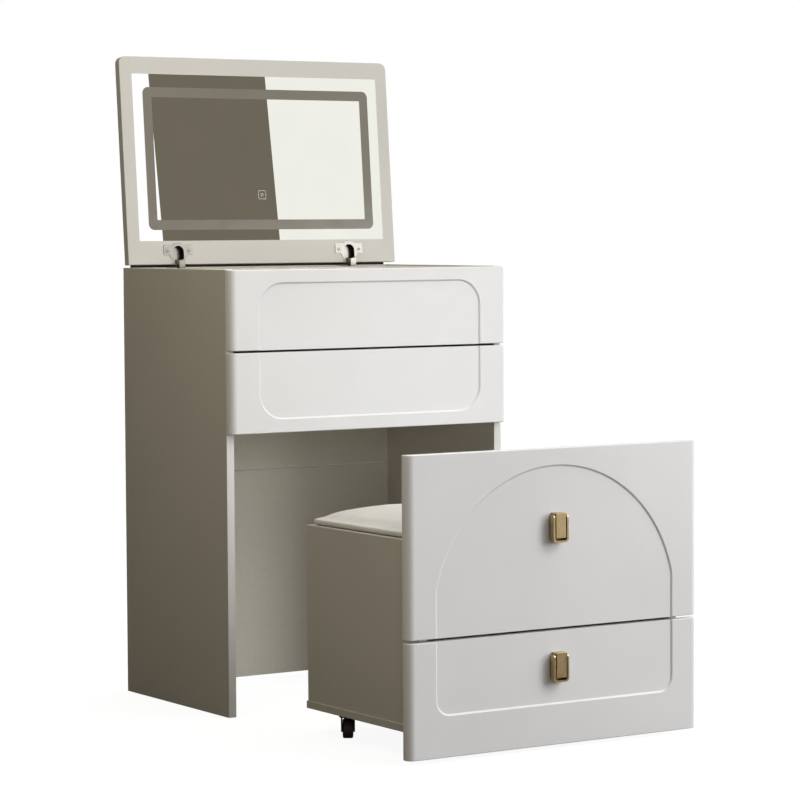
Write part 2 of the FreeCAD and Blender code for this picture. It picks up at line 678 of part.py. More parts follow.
def cup_screws(x):
    """Screws beside the cup, heads on the flange."""
    screws = []
    height = FLANGE_RISE + FLANGE_HEIGHT / 2 - CUP_SCREW_DROP
    for side in (-1, 1):
        place = x + side * CUP_SCREW_SPACING / 2
        head = rod(SCREW_HEAD_RADIUS, SCREW_HEAD, (place, -FLANGE_THICKNESS - SCREW_HEAD, height), Y_AXIS)
        shank = rod(SCREW_RADIUS, FLANGE_THICKNESS + SCREW_LENGTH, (place, -FLANGE_THICKNESS, height), Y_AXIS)
        screws.append(joined(head, shank))
    return screws


def hinge_cup(x):
    """Cup, ears, riveted pin and the screwed flange, on the upright lid."""
    shell = rod(CUP_RADIUS, CUP_DEPTH, (x, 0, CUP_CENTRE), Y_AXIS)
    ears = block(about(x, EAR_OUTER), (0, CUP_DEPTH), (PIVOT_EDGE - KNUCKLE_RADIUS, CUP_CENTRE))
    hollow = cup_shape(x, CUP_RADIUS - CUP_WALL, EAR_INNER, CUP_DEPTH - CUP_WALL)
    cup = shell.fuse(ears).cut(hollow)
    flange_z = (FLANGE_RISE, FLANGE_RISE + FLANGE_HEIGHT)
    wings = rounded_slab(about(x, FLANGE_WIDTH / 2), (-FLANGE_THICKNESS, 0), flange_z, FLANGE_CORNER)
    disc = rod(CUP_RADIUS + FLANGE_DISC_LAP, FLANGE_THICKNESS, (x, 0, CUP_CENTRE), Y_AXIS * -1)
    mouth_round = FLANGE_MOUTH / 2
    mouth = joined(
        block(about(x, mouth_round), (-FLANGE_THICKNESS, 0), (-1, FLANGE_MOUTH_TOP - mouth_round)),
        rod(mouth_round, FLANGE_THICKNESS, (x, 0, FLANGE_MOUTH_TOP - mouth_round), Y_AXIS * -1))
    flange = joined(wings, disc).cut(mouth)
    pin = rod(PIN_RADIUS, 2 * EAR_OUTER, (x - EAR_OUTER, PIVOT_DEPTH, PIVOT_EDGE), X_AXIS)
    return joined(cup, flange, pin).cut(cup_screws(x))


def hinge_arm(x):
    """Gooseneck channel fixed to the case: knuckle, reach over the lid's edge, leg down to its plate."""
    front = PIVOT_Y - ARM_REACH
    top = PIVOT_Z + ARM_HALF_HEIGHT
    foot = PIVOT_Z - ARM_DROP

    def cheek(side):
        thickness = (x + side * ARM_WIDTH / 2, x + side * (ARM_WIDTH / 2 - ARM_WALL))
        reach = block(thickness, (front, PIVOT_Y), (PIVOT_Z - ARM_HALF_HEIGHT, top))
        leg = block(thickness, (front, front + ARM_LEG_DEPTH), (foot, top))
        knuckle = rod(KNUCKLE_RADIUS, ARM_WALL, (min(thickness), PIVOT_Y, PIVOT_Z), X_AXIS)
        return joined(reach, leg, knuckle)

    web = block(about(x, ARM_WIDTH / 2), (front, front + ARM_WALL), (foot, top))
    roof = block(about(x, ARM_WIDTH / 2), (front, front + ARM_LEG_DEPTH), (top - ARM_WALL, top))
    arm = joined(cheek(-1), cheek(1), web, roof)
    hole = rod(PIN_RADIUS + PIN_CLEARANCE, ARM_WIDTH, (x - ARM_WIDTH / 2, PIVOT_Y, PIVOT_Z), X_AXIS)
    return arm.cut(hole)


def hinge_plate(x):
    """Mounting plate on the upper back panel, which carries the arm's leg."""
    foot = PIVOT_Z - ARM_DROP
    middle = foot + PLATE_HEIGHT / 2
    leg_back = PIVOT_Y - ARM_REACH + ARM_LEG_DEPTH
    wings = block(about(x, PLATE_WING_WIDTH / 2), (BACK_FACE - PLATE_WING, BACK_FACE),
                  about(middle, PLATE_WING_HEIGHT / 2))
    boss = block(about(x, PLATE_BOSS_WIDTH / 2), (leg_back, BACK_FACE), (foot, foot + PLATE_HEIGHT))
    return joined(wings, boss)


def plate_screws(x):
    screws = []
    middle = PIVOT_Z - ARM_DROP + PLATE_HEIGHT / 2
    face = BACK_FACE - PLATE_WING
    for side in (-1, 1):
        place = x + side * PLATE_SCREW_SPACING / 2
        head = rod(SCREW_HEAD_RADIUS, SCREW_HEAD, (place, face - SCREW_HEAD, middle), Y_AXIS)
        shank = rod(SCREW_RADIUS, PLATE_WING + SCREW_LENGTH, (place, face, middle), Y_AXIS)
        screws.append(joined(head, shank))
    return screws


def hinge_hardware():
    """For each hinge: arm, plate with its screw holes, and plate screws."""
    sets = []
    for x in HINGE_PLACES:
        screws = plate_screws(x)
        sets.append((hinge_arm(x), hinge_plate(x).cut(screws), screws))
    return sets


# ------------------------------------------------------------------ stool
def stool_boards():
    side_z = (BASE_TOP, SEAT_LEVEL)
    rear = STOOL_REAR
    pieces = {}
    for name, side in (("stool_side_left", -1), ("stool_side_right", 1)):
        board = block((side * STOOL_INNER_HALF, side * STOOL_BOX_HALF), (STOOL_FACE, rear), side_z)
        outside = "left" if side < 0 else "right"
        pieces[name] = softened(board, EDGE_ROUND, outside, but_not=("bottom", "front"))
    pieces["stool_back"] = block(about(0, STOOL_INNER_HALF), (rear - BOARD, rear), side_z)
    pieces["seat_board"] = block(about(0, STOOL_INNER_HALF), (STOOL_FACE, rear - BOARD),
                                 (SEAT_LEVEL - BOARD, SEAT_LEVEL))
    base_half = STOOL_BOX_HALF + BASE_PROUD
    base = block(about(0, base_half), (STOOL_FACE, rear + BASE_PROUD), (BASE_HEIGHT, BASE_TOP))
    base = softened(base, EDGE_ROUND, "left", "right", "back", but_not=("front",))
    seam_y = about(STOOL_FACE + BASE_SEAM_AT, BASE_SEAM / 2)
    for side in (-1, 1):
        base = base.cut(block((side * base_half, side * STOOL_BOX_HALF), seam_y, (BASE_HEIGHT, BASE_TOP)))
    pieces["stool_base"] = base
    front = front_panel(STOOL_FACE, STOOL_FRONT_BOTTOM, STOOL_FRONT_TOP)
    face = STOOL_FACE - FRONT_THICKNESS
    pieces["stool_front"] = front.cut(field_cutter(stool_field, face))
    return pieces


def seat_cushion():
    """Plain crowned pad, the shape of the stuffed seat."""
    front = STOOL_FACE + CUSHION_INSET / 2
    back = STOOL_REAR - CUSHION_INSET
    half = STOOL_BOX_HALF - CUSHION_INSET
    sections = []
    for share, inset in CUSHION_LEVELS:
        section = rounded_outline(about(0, half - inset), (-back + inset, -front - inset), CUSHION_CORNER, 0)
        section.rotate(FreeCAD.Vector(0, 0, 0), X_AXIS, 90)
        section.translate(Z_AXIS * (SEAT_LEVEL + SOFT_GAP + share * (CUSHION_CROWN - SOFT_GAP)))
        sections.append(section)
    return Part.makeLoft(sections, True, True)


def stool_drawer():
    pieces = drawer_box("stool_drawer", STOOL_FACE - SHUT_GAP, STOOL_INNER_HALF, BASE_TOP + STOOL_DRAWER_LIFT,
                        STOOL_DRAWER_BOX_HEIGHT, STOOL_DRAWER_DEPTH)
    panel = front_panel(STOOL_FACE - SHUT_GAP, STOOL_FLOOR_GAP, STOOL_DRAWER_FRONT_TOP)
    face = STOOL_FACE - SHUT_GAP - FRONT_THICKNESS
    pieces["stool_drawer_front"] = panel.cut(field_cutter(stool_field, face))
    middle = BASE_TOP + STOOL_DRAWER_LIFT + STOOL_DRAWER_BOX_HEIGHT / 2
    channels, bars = runner_pair(STOOL_FACE, STOOL_INNER_HALF, middle, STOOL_DRAWER_DEPTH)
    pieces["stool_drawer_channels"] = channels
    pieces["stool_drawer_runner_bars"] = bars
    return pieces


# ------------------------------------------------------------------ pulls
def pull_post(face, middle_z):
    """Back plate and post, cast in one."""
    top = middle_z + PULL_HEIGHT / 2
    plate = rounded_slab(about(0, PULL_WIDTH / 2 - PULL_PLATE_INSET), (face - PULL_PLATE, face),
                         (middle_z - PULL_HEIGHT / 2 + PULL_PLATE_INSET, top - PULL_PLATE_INSET), PULL_CORNER)
    post = rounded_slab(about(0, POST_WIDTH / 2), (face - PULL_DEPTH, face), (top - POST_HEIGHT, top),
                        POST_ROUND)
    post = softened(post, POST_ROUND / 2, "front")
    pin = pull_pin(face, middle_z, LOOP_PIN_RADIUS + PIN_CLEARANCE)
    return joined(plate, post).cut(pin)


def loop_pivot(face, middle_z):
    """Where a pull's pin crosses the middle plane."""
    return FreeCAD.Vector(0, face - LOOP_PIVOT_DEPTH, middle_z + PULL_HEIGHT / 2 - LOOP_PIVOT_DROP)


def pull_pin(face, middle_z, radius):
    half = PULL_WIDTH / 2 - LOOP_WALL / 2
    return rod(radius, 2 * half, loop_pivot(face, middle_z) - X_AXIS * half, X_AXIS)


def pull_loop(face, middle_z):
    """U-shaped loop that hangs round the post on a pin through it."""
    top = middle_z + PULL_HEIGHT / 2
    low = middle_z - PULL_HEIGHT / 2
    pivot = loop_pivot(face, middle_z)
    y = (face - PULL_DEPTH, face - PULL_PLATE - LOOP_BACK_GAP)
    outside = rounded_slab(about(0, PULL_WIDTH / 2), y, (low, top), PULL_CORNER)
    inside = rounded_slab(about(0, PULL_WIDTH / 2 - LOOP_WALL), y, (low + LOOP_WALL, top + PULL_HEIGHT),
                          PULL_CORNER - LOOP_WALL)
    above = block(about(0, PULL_WIDTH), (face - 2 * PULL_DEPTH, face), (pivot.z, top + PULL_HEIGHT))
    loop = outside.cut([inside, above])
    ends = []
    for side in (-1, 1):
        leg_x = min(side * PULL_WIDTH / 2, side * (PULL_WIDTH / 2 - LOOP_WALL))
        ends.append(rod(LOOP_DEPTH / 2, LOOP_WALL, pivot + X_AXIS * leg_x, X_AXIS))
    return joined(loop, *ends, pull_pin(face, middle_z, LOOP_PIN_RADIUS))


# ------------------------------------------------------------------ casters
def turned(shape, place):
    """Turns a caster piece drawn with its fork pointing along +Y, and stands it under the stool."""
    moved = shape.copy()
    moved.rotate(FreeCAD.Vector(0, 0, 0), Z_AXIS, CASTER_ANGLE)
    moved.translate(FreeCAD.Vector(place[0], place[1], 0))
    return moved


CHEEK_INNER = WHEEL_WIDTH / 2 + CHEEK_GAP
CHEEK_OUTER = CHEEK_INNER + CHEEK


def caster_plate(place):
    square = about(0, CASTER_PLATE_SIZE / 2)
    plate = rounded_slab(square, (0, CASTER_PLATE), square, CASTER_PLATE_CORNER)
    plate.rotate(FreeCAD.Vector(0, 0, 0), X_AXIS, 90)
    plate.translate(Z_AXIS * (BASE_HEIGHT - CASTER_PLATE))
    pin = rod(KINGPIN_RADIUS, BASE_HEIGHT - CASTER_PLATE - KINGPIN_HEAD_BOTTOM, (0, 0, KINGPIN_HEAD_BOTTOM))
    head = rod(KINGPIN_HEAD_RADIUS, KINGPIN_HEAD, (0, 0, KINGPIN_HEAD_BOTTOM))
    shape = joined(plate, pin, head)
    shape.translate(FreeCAD.Vector(place[0], place[1], 0))
    return shape


def caster_fork(place):
    """Crown and two cheeks, with the axle riveted through them."""
    crown = rod(CROWN_RADIUS, CROWN_THICKNESS, (0, 0, CROWN_BOTTOM))
    cheeks = []
    for side in (-1, 1):
        inner = side * CHEEK_INNER
        boss_front = CASTER_TRAIL - CHEEK_BOSS
        boss_back = CASTER_TRAIL + CHEEK_BOSS
        points = [(CHEEK_TOP_REACH[0], CROWN_TOP), (CHEEK_TOP_REACH[1], CROWN_TOP),
                  (boss_back, WHEEL_RADIUS), (boss_front, WHEEL_RADIUS)]
        corners = [FreeCAD.Vector(inner, y, z) for y, z in points]
        plate = Part.Face(Part.makePolygon(corners + corners[:1])).extrude(X_AXIS * side * CHEEK)
        boss_x = min(inner, inner + side * CHEEK)
        boss = rod(CHEEK_BOSS, CHEEK, (boss_x, CASTER_TRAIL, WHEEL_RADIUS), X_AXIS)
        cheeks.append(joined(plate, boss))
    axle = rod(AXLE_RADIUS, 2 * CHEEK_OUTER, (-CHEEK_OUTER, CASTER_TRAIL, WHEEL_RADIUS), X_AXIS)
    fork = joined(crown, *cheeks)
    fork = fork.cut(rod(KINGPIN_RADIUS + RUNNING_CLEARANCE, BASE_HEIGHT, (0, 0, 0)))
    return turned(joined(fork, axle), place)


def caster_wheel(place):
    wheel = rod(WHEEL_RADIUS, WHEEL_WIDTH, (-WHEEL_WIDTH / 2, CASTER_TRAIL, WHEEL_RADIUS), X_AXIS)
    wheel = softened(wheel, WHEEL_ROUND, "left", "right")
    bore = rod(AXLE_RADIUS + RUNNING_CLEARANCE, WHEEL_WIDTH,
               (-WHEEL_WIDTH / 2, CASTER_TRAIL, WHEEL_RADIUS), X_AXIS)
    return turned(wheel.cut(bore), place)


# ------------------------------------------------------------------ the whole object
def all_pieces():
    pieces = {
        "side_panel_left": side_panel(-1),
        "side_panel_right": side_panel(1),
        "top_board": top_board(),
        "top_front_rail": top_front_rail(),
        "case_bottom": case_bottom(),
        "back_panel_lower": back_panel_lower(),
        "back_panel_upper": back_panel_upper(),
        "case_cam_fittings": case_bolts_and_cams(),
    }
    pieces.update(case_drawer("upper_drawer", UPPER_FRONT_BOTTOM, UPPER_FRONT_TOP))
    pieces.update(case_drawer("lower_drawer", LOWER_FRONT_BOTTOM, LOWER_FRONT_TOP))

    hardware = hinge_hardware()
    pieces["lid_panel"] = lid_panel()
    pieces["mirror_glass"] = mirror_glass()
    pieces["light_band"] = light_band()
    pieces["led_strip"] = led_strip()
    pieces["touch_sensor"] = touch_sensor()
    pieces["power_inlet"] = power_inlet()
    pieces["hinge_cups"] = group([placed_on_lid(hinge_cup(x)) for x in HINGE_PLACES])
    pieces["hinge_cup_screws"] = group(
        [placed_on_lid(screw) for x in HINGE_PLACES for screw in cup_screws(x)])
    pieces["hinge_arms"] = group([arm for arm, _, _ in hardware])
    pieces["hinge_plates"] = group([plate for _, plate, _ in hardware])
    pieces["hinge_plate_screws"] = group([screw for _, _, screws in hardware for screw in screws])

    pieces.update(stool_boards())
    pieces["seat_cushion"] = seat_cushion()
    pieces.update(stool_drawer())
    pieces["stool_pull_post"] = pull_post(STOOL_PULL_FACE, STOOL_PULL_HEIGHT)
    pieces["stool_pull_loop"] = pull_loop(STOOL_PULL_FACE, STOOL_PULL_HEIGHT)
    pieces["stool_drawer_pull_post"] = pull_post(DRAWER_PULL_FACE, DRAWER_PULL_HEIGHT)
    pieces["stool_drawer_pull_loop"] = pull_loop(DRAWER_PULL_FACE, DRAWER_PULL_HEIGHT)

    pieces["caster_plates"] = group([caster_plate(place) for place in KINGPIN_PLACES.values()])
    for corner, place in KINGPIN_PLACES.items():
        pieces["caster_fork_" + corner] = caster_fork(place)
        pieces["caster_wheel_" + corner] = caster_wheel(place)
    return pieces


def travels():
    """How each moving part goes from rest: a point on its axis (None for a slide), direction, far limit."""
    moves = {
        "upper_drawer": (None, Y_AXIS * -1, DRAWER_TRAVEL),
        "lower_drawer": (None, Y_AXIS * -1, DRAWER_TRAVEL),
        "stool": (None, Y_AXIS, STOOL_TRAVEL),
        "stool_drawer": (None, Y_AXIS * -1, STOOL_DRAWER_TRAVEL),
        "lid": (FreeCAD.Vector(0, PIVOT_Y, PIVOT_Z), X_AXIS, LID_TRAVEL),
        "stool_pull_loop": (loop_pivot(STOOL_PULL_FACE, STOOL_PULL_HEIGHT), X_AXIS * -1, LOOP_SWING),
        "stool_drawer_pull_loop": (
            loop_pivot(DRAWER_PULL_FACE, DRAWER_PULL_HEIGHT), X_AXIS * -1, LOOP_SWING),
    }
    turn = FreeCAD.Rotation(Z_AXIS, CASTER_ANGLE)
    for corner, (x, y) in KINGPIN_PLACES.items():
        swivel = FreeCAD.Vector(x, y, CROWN_BOTTOM)
        axle = FreeCAD.Vector(x, y, WHEEL_RADIUS) + turn.multVec(Y_AXIS * CASTER_TRAIL)
        moves["caster_fork_" + corner] = (swivel, Z_AXIS, 360.0)
        moves["caster_wheel_" + corner] = (axle, turn.multVec(X_AXIS), 360.0)
    return moves


def main():
    os.makedirs("parts", exist_ok=True)
    pieces = all_pieces()
    for name, shape in pieces.items():
        save(name, shape)
    print(len(pieces), "nodes,", sum(len(shape.Solids) for shape in pieces.values()), "solids")
    for name, (_, direction, limit) in travels().items():
        print(f"{name} moves up to {limit:.2f} along or about {tuple(direction)}")


if __name__ == "__main__":
    main()
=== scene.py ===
import json
import math

import bpy
from mathutils import Matrix, Vector


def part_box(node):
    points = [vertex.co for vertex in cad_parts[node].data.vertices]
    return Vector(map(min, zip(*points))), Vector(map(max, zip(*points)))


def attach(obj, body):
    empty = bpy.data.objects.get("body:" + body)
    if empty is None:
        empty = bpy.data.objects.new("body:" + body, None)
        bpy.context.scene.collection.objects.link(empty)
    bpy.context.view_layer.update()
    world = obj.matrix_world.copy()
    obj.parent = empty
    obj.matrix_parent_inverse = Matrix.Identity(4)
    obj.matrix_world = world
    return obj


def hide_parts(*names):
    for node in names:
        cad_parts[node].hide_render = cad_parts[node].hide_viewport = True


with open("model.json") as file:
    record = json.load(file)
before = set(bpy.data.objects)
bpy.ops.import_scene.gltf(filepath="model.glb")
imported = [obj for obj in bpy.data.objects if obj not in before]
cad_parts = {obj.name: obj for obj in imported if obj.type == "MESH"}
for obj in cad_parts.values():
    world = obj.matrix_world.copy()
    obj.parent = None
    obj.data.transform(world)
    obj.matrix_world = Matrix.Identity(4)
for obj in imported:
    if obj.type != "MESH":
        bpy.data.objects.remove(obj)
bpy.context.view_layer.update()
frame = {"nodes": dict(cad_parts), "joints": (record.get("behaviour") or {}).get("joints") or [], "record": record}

MM = 0.001
nodes = frame["nodes"]
record = frame["record"]
joints = {joint["name"]: joint for joint in frame["joints"]}
scene = bpy.context.scene

# ------------------------------------------------------------------ camera
CAMERA_PLACE = Vector((-2.934, -4.571, 0.875))
CAMERA_YAW = 32.78         # degrees to the right of +Y
CAMERA_DROP = 3.2925       # degrees below level
CAMERA_ROLL = -0.332
CAMERA_LENS = 135.9        # millimetres
CAMERA_REACH = 200.0       # metres

# ------------------------------------------------------------------ studio
SIDE_GLOW = (0.012, 0.010, 0.008)       # dim, warm light that reaches the left sides
OPEN_GLOW = (1.48, 1.48, 1.49)          # bright, almost neutral light from the right
CARD_START, CARD_END = 28.63, 30.85     # degrees right of -Y: the dark card the mirror shows
CARD_COLOUR = (0.165, 0.143, 0.108)
ROOM_WHITE = (1.10, 1.10, 1.09)
ROOM_CREAM = (0.94, 0.93, 0.87)
GLOW_SPREAD = (-0.15, 0.55)             # how far right a direction points where the glow starts and ends
LIT_SIDE_START = 0.2                    # directions farther right than this mirror the lit walls
WHITE = (1.0, 1.0, 1.0)
SOFTBOXES = {               # place, size in metres, power in watts and colour of each
    "key": (Vector((2.4, -2.9, 3.4)), 2.0, 60.0, WHITE),
    "top": (Vector((0.9, -0.4, 3.4)), 2.2, 4.0, WHITE),
    "left": (Vector((-1.3, -0.5, 1.9)), 0.7, 11.0, (1.0, 0.94, 0.76)),
    "fill": (Vector((-2.2, -3.6, 0.9)), 1.0, 13.0, (1.0, 0.96, 0.90)),
    "right": (Vector((1.7, -1.9, 0.8)), 0.8, 12.5, WHITE),
}
SOFTBOX_AIM = Vector((0, -0.1, 0.5))
FLOOR_SIZE = 60.0
FLOOR_PALE = (0.16, 0.16, 0.16)
FLOOR_LIFT = 0.93          # glow that brings the floor up to the white surroundings
FLOOR_BOUNCE = (0.12, 0.10, 0.075)


# ------------------------------------------------------------------ helpers for node materials
NOISE_SPREAD = (0.3, 0.7)      # nearly all of a noise texture's values lie between these
SHADER_SOCKETS = {"colour": "Base Color", "roughness": "Roughness"}


def new_tree(name):
    material = bpy.data.materials.new(name)
    material.use_nodes = True
    tree = material.node_tree
    tree.nodes.clear()
    shader = tree.nodes.new("ShaderNodeBsdfPrincipled")
    output = tree.nodes.new("ShaderNodeOutputMaterial")
    tree.links.new(shader.outputs["BSDF"], output.inputs["Surface"])
    return material, tree, shader


def place_on_surface(tree, stretch=(1, 1, 1)):
    """Object coordinates in metres, stretched along chosen axes."""
    coordinates = tree.nodes.new("ShaderNodeTexCoord")
    mapping = tree.nodes.new("ShaderNodeMapping")
    mapping.inputs["Scale"].default_value = stretch
    tree.links.new(coordinates.outputs["Object"], mapping.inputs["Vector"])
    return mapping.outputs["Vector"]


def noise(tree, per_metre, detail=3.0, stretch=(1, 1, 1)):
    texture = tree.nodes.new("ShaderNodeTexNoise")
    texture.inputs["Scale"].default_value = per_metre
    texture.inputs["Detail"].default_value = detail
    tree.links.new(place_on_surface(tree, stretch), texture.inputs["Vector"])
    return texture.outputs["Fac"]


def remapped(tree, value, low, high, spread=NOISE_SPREAD):
    ranger = tree.nodes.new("ShaderNodeMapRange")
    ranger.inputs["From Min"].default_value = spread[0]
    ranger.inputs["From Max"].default_value = spread[1]
    ranger.inputs["To Min"].default_value = low
    ranger.inputs["To Max"].default_value = high
    tree.links.new(value, ranger.inputs["Value"])
    return ranger.outputs["Result"]


def blended(tree, value, colour_a, colour_b, spread=NOISE_SPREAD):
    ramp = tree.nodes.new("ShaderNodeValToRGB")
    ramp.color_ramp.elements[0].position = spread[0]
    ramp.color_ramp.elements[1].position = spread[1]
    ramp.color_ramp.elements[0].color = (*colour_a, 1)
    ramp.color_ramp.elements[1].color = (*colour_b, 1)
    tree.links.new(value, ramp.inputs["Fac"])
    return ramp.outputs["Color"]


def mixed(tree, factor, first, second):
    """Goes from the first colour to the second; either may be a plain colour or a node's output."""
    mix = tree.nodes.new("ShaderNodeMix")
    mix.data_type = "RGBA"
    tree.links.new(factor, mix.inputs["Factor"])
    for socket, value in zip((mix.inputs["A"], mix.inputs["B"]), (first, second)):
        if isinstance(value, tuple):
            socket.default_value = (*value, 1)
        else:
            tree.links.new(value, socket)
    return mix.outputs["Result"]


def multiplied(tree, first, second):
    mix = tree.nodes.new("ShaderNodeMix")
    mix.data_type = "RGBA"
    mix.blend_type = "MULTIPLY"
    mix.inputs["Factor"].default_value = 1.0
    tree.links.new(first, mix.inputs["A"])
    tree.links.new(second, mix.inputs["B"])
    return mix.outputs["Result"]


def feed(tree, shader, **sources):
    """Links node outputs to the shader's colour and roughness."""
    for name, source in sources.items():
        tree.links.new(source, shader.inputs[SHADER_SOCKETS[name]])


def bumped(tree, shader, *layers):
    """Each layer is (height, depth in metres); they add up."""
    normal = None
    for height, depth in layers:
        bump = tree.nodes.new("ShaderNodeBump")
        bump.inputs["Distance"].default_value = depth
        bump.inputs["Strength"].default_value = 1.0
        tree.links.new(height, bump.inputs["Height"])
        if normal is not None:
            tree.links.new(normal, bump.inputs["Normal"])
        normal = bump.outputs["Normal"]
    tree.links.new(normal, shader.inputs["Normal"])


def tinted(colour, factor):
    return tuple(min(1.0, part * factor) for part in colour)


# ------------------------------------------------------------------ materials
LIT_FACING = (0.85, 0.95)     # a face turned this squarely to the front or rear takes the lighter colour: partly a banded edge, partly painted light
LIP_BLEND = 0.1 * MM
HOLLOW_SPREAD = (0.35, 0.85)   # how open to its surroundings a metal face is where it darkens: painted shade, and on the brass patina too


def lacquer(name, colour, gloss):
    """Sprayed satin lacquer: faint orange peel, slow drift of tone, a few dulled patches."""
    material, tree, shader = new_tree(name)
    drift = noise(tree, 5.0, 2.0)
    feed(tree, shader,
         colour=blended(tree, drift, tinted(colour, 0.975), tinted(colour, 1.02)),
         roughness=remapped(tree, noise(tree, 38.0, 4.0), gloss - 0.05, gloss + 0.06))
    bumped(tree, shader, (noise(tree, 260.0, 2.0), 0.00003), (noise(tree, 9.0, 1.0), 0.00012))
    shader.inputs["Specular IOR Level"].default_value = 0.42
    return material


def melamine(name, colour, roughness, lit_band_colour=None):
    """Printed board with a fine linen emboss and small flecks; faces turned to the front or rear may take a
    lighter colour, partly a banded edge and partly painted light.
    """
    material, tree, shader = new_tree(name)
    warp = noise(tree, 1.0, 3.0, (900, 900, 90))
    weft = noise(tree, 1.0, 3.0, (90, 90, 900))
    flecks = noise(tree, 420.0, 3.0)
    tone = blended(tree, flecks, tinted(colour, 0.94), tinted(colour, 1.04))
    slow = blended(tree, noise(tree, 3.5, 2.0), (0.96, 0.955, 0.95), WHITE)
    face = multiplied(tree, tone, slow)
    # Lighter colour on faces turned to the front or rear: partly a banded edge, partly painted light.
    if lit_band_colour:
        facing = tree.nodes.new("ShaderNodeVectorMath")
        facing.operation = "ABSOLUTE"
        tree.links.new(tree.nodes.new("ShaderNodeTexCoord").outputs["Normal"], facing.inputs[0])
        parts = tree.nodes.new("ShaderNodeSeparateXYZ")
        tree.links.new(facing.outputs["Vector"], parts.inputs["Vector"])
        lit_band = blended(tree, flecks, tinted(lit_band_colour, 0.97), tinted(lit_band_colour, 1.02))
        face = mixed(tree, remapped(tree, parts.outputs["Y"], 0, 1, LIT_FACING), face, lit_band)
    feed(tree, shader, colour=face,
         roughness=remapped(tree, flecks, roughness - 0.05, roughness + 0.08))
    bumped(tree, shader, (warp, 0.00005), (weft, 0.00005))
    shader.inputs["Specular IOR Level"].default_value = 0.3
    return material


def with_painted_gap_shade(material, height):
    """Everything above a height turns nearly black: painted shade for the dark gap under the lid."""
    tree = material.node_tree
    shader = next(node for node in tree.nodes if node.type == "BSDF_PRINCIPLED")
    parts = tree.nodes.new("ShaderNodeSeparateXYZ")
    tree.links.new(place_on_surface(tree), parts.inputs["Vector"])
    above = remapped(tree, parts.outputs["Z"], 0, 1, (height, height + LIP_BLEND))
    board = shader.inputs["Base Color"].links[0].from_socket
    # Nearly black, faintly mottled: painted shade in the gap.
    gap_shade = blended(tree, noise(tree, 300.0), (0.012, 0.012, 0.013), (0.022, 0.021, 0.020))
    feed(tree, shader, colour=mixed(tree, above, board, gap_shade))
    return material


def silvered_glass(name):
    material, tree, shader = new_tree(name)
    haze = noise(tree, 14.0, 5.0)
    feed(tree, shader,
         colour=blended(tree, haze, (0.90, 0.915, 0.91), (0.93, 0.94, 0.935)),
         roughness=remapped(tree, haze, 0.0, 0.004))
    shader.inputs["Metallic"].default_value = 1.0
    return material


def etched_glass(name, colour):
    material, tree, shader = new_tree(name)
    grain = noise(tree, 2600.0, 2.0)
    feed(tree, shader,
         colour=blended(tree, grain, tinted(colour, 0.93), tinted(colour, 1.07)),
         roughness=remapped(tree, noise(tree, 30.0, 3.0), 0.10, 0.16))
    bumped(tree, shader, (grain, 0.000004))
    shader.inputs["Specular IOR Level"].default_value = 0.75
    return material


def metal(name, low, high, crevice, roughness, brush, hollow_size=5 * MM):
    """Brushed metal whose hollows are darkened: painted shade, and on the antique brass patina too; brush holds
    texture cycles per metre on each axis.
    """
    material, tree, shader = new_tree(name)
    lines = noise(tree, 1.0, 4.0, brush)
    # Darkening by ambient occlusion: painted shade in the hollows.
    hollow = tree.nodes.new("ShaderNodeAmbientOcclusion")
    hollow.inputs["Distance"].default_value = hollow_size
    hollow.samples = 8
    hollow_shade_and_patina = blended(tree, hollow.outputs["AO"], crevice, WHITE, HOLLOW_SPREAD)
    feed(tree, shader,
         colour=multiplied(tree, blended(tree, lines, low, high), hollow_shade_and_patina),
         roughness=remapped(tree, lines, roughness - 0.08, roughness + 0.08))
    bumped(tree, shader, (lines, 0.00002))
    shader.inputs["Metallic"].default_value = 1.0
    return material


def moulded(name, colour, roughness):
    material, tree, shader = new_tree(name)
    grain = noise(tree, 1500.0, 2.0)
    feed(tree, shader,
         colour=blended(tree, noise(tree, 60.0), tinted(colour, 0.8), tinted(colour, 1.3)),
         roughness=remapped(tree, grain, roughness - 0.06, roughness + 0.1))
    bumped(tree, shader, (grain, 0.00004))
    return material


def leatherette(name, colour):
    """Fine pebbled cover with a slight sheen and soft creases."""
    material, tree, shader = new_tree(name)
    pebble = tree.nodes.new("ShaderNodeTexVoronoi")
    pebble.inputs["Scale"].default_value = 950.0
    tree.links.new(place_on_surface(tree), pebble.inputs["Vector"])
    crease = noise(tree, 30.0, 5.0)
    feed(tree, shader,
         colour=blended(tree, crease, tinted(colour, 0.965), tinted(colour, 1.02)),
         roughness=remapped(tree, noise(tree, 90.0, 3.0), 0.42, 0.56))
    bumped(tree, shader, (pebble.outputs["Distance"], 0.00012), (crease, 0.0005))
    shader.inputs["Sheen Weight"].default_value = 0.15
    shader.inputs["Sheen Roughness"].default_value = 0.5
    return material


def light_tape(name):
    material, tree, shader = new_tree(name)
    chips = noise(tree, 1.0, 1.0, (120, 120, 120))
    feed(tree, shader,
         colour=blended(tree, chips, (0.85, 0.82, 0.68), (0.93, 0.91, 0.84)),
         roughness=remapped(tree, chips, 0.35, 0.5))
    return material


